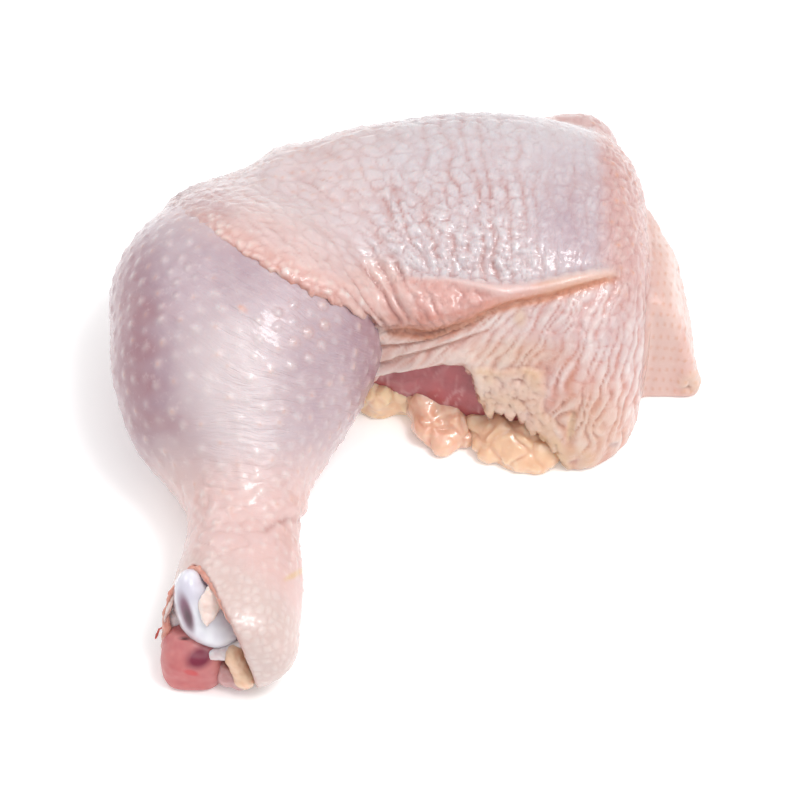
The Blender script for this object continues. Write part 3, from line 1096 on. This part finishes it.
def soft_tissue(name, base, deep, rough=0.3):
    """Moist tendon, ligament or scrap of tissue: uneven in tone, with a soft gloss."""
    t = Tree(name)
    colour = t.tint(base, (deep, "tone", 0.8))
    normal = t.bump(t.grain(0.5, 3.0), 0.07, 0.5)
    return t.finish(colour, Roughness=rough, Normal=normal, Subsurface_Weight=0.45,
                    Subsurface_Radius=(1.0, 0.5, 0.4), Subsurface_Scale=0.0015,
                    Coat_Weight=0.6, Coat_Roughness=0.1, Coat_IOR=1.38)


def pale_floor():
    """Matt white paper, all but plain."""
    t = Tree("pale_floor")
    shade = t.grain(220.0, 2.0)
    colour = t.mix("#fdfdfd", "#fafafa", shade)
    return t.finish(colour, Roughness=0.9, Specular_IOR_Level=0.1, Emission_Strength=0.16,
                    Emission_Color=(1.0, 1.0, 1.0, 1.0))


# ---------------------------------------------------------------- operators

def carry(ob, node, slot, material):
    """Puts a piece on the object's body in place of the plain solid, with its material."""
    ob.data.materials.append(material)
    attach(ob, "root")
    if node:
        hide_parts(*node.split())
    return ob


class SkinSettings(bpy.types.PropertyGroup):
    drumstick_step: FloatProperty(
        name="Drumstick mesh", description="Spacing of the drumstick skin's vertices",
        default=0.00049, min=0.0002, unit="LENGTH", subtype="DISTANCE")
    thigh_step: FloatProperty(name="Thigh mesh", description="Spacing of the thigh skin's vertices",
                              default=0.00056, min=0.0002, unit="LENGTH", subtype="DISTANCE")


class CutSettings(bpy.types.PropertyGroup):
    step: FloatProperty(name="Mesh", description="Spacing of the meat's and fat's vertices",
                        default=0.0004, min=0.0001, unit="LENGTH", subtype="DISTANCE")


class AnkleSettings(bpy.types.PropertyGroup):
    step: FloatProperty(name="Mesh", description="Spacing of the joint's vertices",
                        default=0.00022, min=0.0001, unit="LENGTH", subtype="DISTANCE")


class StageSettings(bpy.types.PropertyGroup):
    floor_size: FloatProperty(name="Floor", description="Width of the floor", default=6.0,
                              unit="LENGTH", subtype="DISTANCE")
    key_power: FloatProperty(name="Key light", description="Power of the soft key light, in watts",
                             default=5.2, min=0.0)
    fill_power: FloatProperty(name="Fill light", description="Power of the second light, in watts",
                              default=1.3, min=0.0)
    sky: FloatProperty(name="Sky", description="Strength of the even light from all round",
                       default=0.58, min=0.0)
    lens: FloatProperty(name="Lens", description="The camera's focal length, in millimetres",
                        default=120.0)
    distance: FloatProperty(name="Distance", description="From the camera to what it looks at",
                            default=0.587, unit="LENGTH", subtype="DISTANCE")
    elevation: FloatProperty(name="Elevation", description="How far the camera looks down",
                             default=math.radians(50.0), unit="ROTATION", subtype="ANGLE")


class LEG_OT_drumstick_skin(bpy.types.Operator):
    """Makes the drumstick's skin, open at the ankle"""
    bl_idname = "chicken_leg.drumstick_skin"
    bl_label = "Drumstick skin"

    def execute(self, context):
        step = context.scene.chicken_skin.drumstick_step / MM
        ob = make_piece("drumstick_skin", drumstick_skin, ((-70, -76, -1), (-3, 54, 54)), step,
                        relief_drumstick, fine=((-70, 0), (-76, 30), (8, 54)))
        carry(ob, "skin_covered_leg", "skin",
              raw_skin("drumstick_raw_skin", "#e2d8da", line_weight=0.06, line_depth=0.05,
                       crinkle_depth=0.46, wet_rough=0.17))
        return {"FINISHED"}


class LEG_OT_thigh_skin(bpy.types.Operator):
    """Makes the thigh's skin with its fold, flap and corner, open over the meat"""
    bl_idname = "chicken_leg.thigh_skin"
    bl_label = "Thigh skin"

    def execute(self, context):
        step = context.scene.chicken_skin.thigh_step / MM
        ob = make_piece("thigh_skin", thigh_skin, ((-64, -18, -1), (70, 84, 55)), step,
                        relief_thigh, fine=((-46, 66), (-18, 44), (4, 55)))
        carry(ob, "skin_covered_leg", "skin",
              raw_skin("thigh_raw_skin", "#b88f8c", line_weight=0.14, line_depth=-0.10,
                       crinkle_depth=0.30, wet_rough=0.11))
        return {"FINISHED"}


class LEG_OT_cut(bpy.types.Operator):
    """Makes the meat and the lumps of fat that show under the thigh"""
    bl_idname = "chicken_leg.cut"
    bl_label = "Cut meat and fat"

    def execute(self, context):
        step = context.scene.chicken_cut.step / MM
        ob = make_piece("cut_meat", meat, ((-18, -14, -1), (52, 32, 46)), step * 1.6, relief_meat)
        carry(ob, "thigh_meat", "meat", raw_meat())
        for name, table, base, deep in (
                ("fat_left", FAT_LEFT, "#fbdcb6", "#f2caa2"),
                ("fat_middle", FAT_MIDDLE, "#ecc2a9", "#e0a68d"),
                ("fat_right", FAT_RIGHT, "#ecc8a8", "#e2b290")):
            def field(p, table=table):
                """One lump's lobes, cut flat at the base."""
                return meet(lumps(p, table, 1.6), -p[2], 0.4)
            c = np.array([e[0] for e in table])
            r = np.array([e[1] for e in table])
            box = ((c - r).min(0) - 3, (c + r).max(0) + 3)
            ob = make_piece(name + "_lobes", field, box, step, relief_fat)
            carry(ob, name, "fat", raw_fat("raw_" + name, base, deep))
        return {"FINISHED"}


class LEG_OT_ankle(bpy.types.Operator):
    """Makes the joint, cap, tendon and scraps at the ankle"""
    bl_idname = "chicken_leg.ankle"
    bl_label = "Ankle"

    def execute(self, context):
        step = context.scene.chicken_ankle.step / MM
        shaft = [(-42, -56, 15, 5.0), (-40, -44, 15, 4.4)]

        def cap(p):
            """The gristle under the joint, a squarish lump with a soft upper edge."""
            c, r = CAP
            f = (sum(np.abs((p[i] - c[i]) / r[i]) ** 3.2 for i in range(3)) ** (1 / 3.2) - 1) * 6
            return meet(join(f, lumps(p, CAP_EDGE), 2.0), -p[2], 0.6)

        def tendon(p):
            """The tendon's cut end, a lozenge turned on the slope."""
            c, r = TENDON
            from_centre = np.broadcast_arrays(*(p[i] - c[i] for i in range(3)))
            u, v, w = slope_frame(from_centre, -8)
            f = (np.abs(u / r[0]) ** 1.25 + np.abs(v / r[1]) ** 1.25) ** (1 / 1.25) - 1
            return meet(f * r[0], np.abs(w) - r[2], 0.8)

        jobs = (
            ("joint_condyles", lambda p: join(lumps(p, CONDYLES), rod(p, shaft), 3),
             ((-54, -70, 2), (-28, -46, 30)), relief_joint, "shank_bone", "joint", joint_gristle()),
            ("hock_cap_gristle", cap, ((-56, -74, -1), (-34, -55, 14)), relief_cap, "hock_cap",
             "gristle", bloody_gristle()),
            ("tendon_end", tendon, ((-46, -70, 10), (-36, -54, 28)), relief_small, "tendon_stub",
             "tendon", soft_tissue("tendon", "#f0dfd8", "#e2c9c0")),
            ("ankle_fat_lump", lambda p: meet(lumps(p, ANKLE_FAT, 1.5), -p[2], 0.4),
             ((-41, -75, -1), (-28, -61, 16)), relief_small, "ankle_fat", "ankle_fat",
             soft_tissue("tan_fat", "#efccae", "#e2b795")),
            ("ankle_ligament", lambda p: np.minimum(rod(p, LIGAMENT, 0.8), rod(p, SIDE_TISSUE, 1.0)),
             ((-52, -70, 4), (-32, -53, 21)), relief_small, None, "tendon",
             soft_tissue("ligament", "#eadfe0", "#dcc3c4")),
            ("ankle_scrap", lambda p: meet(lumps(p, SCRAP, 1.0), -p[2], 0.3),
             ((-41, -74, -1), (-33, -64, 7)), relief_small, None, "gristle",
             soft_tissue("pink_scrap", "#d0a6a5", "#c08a8a")),
            ("ankle_membrane", lambda p: join(rod(p, MEMBRANE, 0.5), rod(p, LINING, 0.5), 0.5),
             ((-57, -70, 0), (-34, -52, 27)), relief_small, None, "gristle",
             soft_tissue("membrane", "#d59c8b", "#c57d6e")),
            ("ankle_thread", lambda p: rod(p, THREAD, 0.2),
             ((-58, -66, 4), (-48, -58, 16)), relief_small, None, "gristle",
             soft_tissue("red_membrane", "#b5544c", "#a04038")),
        )
        for name, field, box, relief, node, slot, material in jobs:
            ob = make_piece(name, field, box, step, relief)
            carry(ob, node, slot, material)
        return {"FINISHED"}


class LEG_OT_stage(bpy.types.Operator):
    """Makes the floor, the lights and the camera"""
    bl_idname = "chicken_leg.stage"
    bl_label = "Stage"

    def execute(self, context):
        s = context.scene.chicken_stage
        bpy.ops.mesh.primitive_plane_add(size=s.floor_size, location=(0, 0, -FLOOR_DROP))
        floor = context.object
        floor.name = "floor"
        floor.data.materials.append(pale_floor())

        for name, place, size, power, share in LIGHTS:
            light = bpy.data.lights.new(name, "AREA")
            light.shape = "DISK"
            light.energy, light.size = getattr(s, power) * share, size
            ob = bpy.data.objects.new(name, light)
            ob.location = place
            ob.rotation_mode = "QUATERNION"
            ob.rotation_quaternion = Vector(place).to_track_quat("Z", "Y")
            context.scene.collection.objects.link(ob)
        world = bpy.data.worlds.new("studio")
        context.scene.world = world
        world.use_nodes = True
        world.node_tree.nodes["Background"].inputs[0].default_value = (1, 1, 1, 1)
        world.node_tree.nodes["Background"].inputs[1].default_value = s.sky

        camera = bpy.data.cameras.new("camera")
        camera.lens, camera.sensor_width = s.lens, SENSOR
        ob = bpy.data.objects.new("camera", camera)
        context.scene.collection.objects.link(ob)
        target = Vector([t + o for t, o in zip(TARGET, OFFSET)]) * MM
        back = Vector((0, -math.cos(s.elevation), math.sin(s.elevation)))
        ob.location = target + back * s.distance
        ob.rotation_mode = "QUATERNION"
        ob.rotation_quaternion = (-back).to_track_quat("-Z", "Y")
        context.scene.camera = ob
        context.scene.view_settings.view_transform = "Standard"
        return {"FINISHED"}


class LEG_PT_panel(bpy.types.Panel):
    """Buttons for the pieces"""
    bl_label = "Chicken leg quarter"
    bl_idname = "LEG_PT_panel"
    bl_space_type = "VIEW_3D"
    bl_region_type = "UI"
    bl_category = "Chicken leg"

    def draw(self, context):
        scene = context.scene
        for group, operator in ((scene.chicken_skin, "chicken_leg.drumstick_skin"),
                                (scene.chicken_skin, "chicken_leg.thigh_skin"),
                                (scene.chicken_cut, "chicken_leg.cut"),
                                (scene.chicken_ankle, "chicken_leg.ankle"),
                                (scene.chicken_stage, "chicken_leg.stage")):
            box = self.layout.box()
            for key in group.__annotations__:
                box.prop(group, key)
            box.operator(operator)


CLASSES = (SkinSettings, CutSettings, AnkleSettings, StageSettings, LEG_OT_drumstick_skin,
           LEG_OT_thigh_skin, LEG_OT_cut, LEG_OT_ankle, LEG_OT_stage, LEG_PT_panel)


def register():
    """Registers the classes and their settings."""
    for c in CLASSES:
        bpy.utils.register_class(c)
    bpy.types.Scene.chicken_skin = PointerProperty(type=SkinSettings)
    bpy.types.Scene.chicken_cut = PointerProperty(type=CutSettings)
    bpy.types.Scene.chicken_ankle = PointerProperty(type=AnkleSettings)
    bpy.types.Scene.chicken_stage = PointerProperty(type=StageSettings)


def unregister():
    """Removes what register added."""
    for key in ("chicken_skin", "chicken_cut", "chicken_ankle", "chicken_stage"):
        delattr(bpy.types.Scene, key)
    for c in reversed(CLASSES):
        bpy.utils.unregister_class(c)


def main():
    """Makes every piece and the stage."""
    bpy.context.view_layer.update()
    register()
    bpy.ops.chicken_leg.drumstick_skin()
    bpy.ops.chicken_leg.thigh_skin()
    bpy.ops.chicken_leg.cut()
    bpy.ops.chicken_leg.ankle()
    bpy.ops.chicken_leg.stage()


if __name__ == "__main__":
    main()
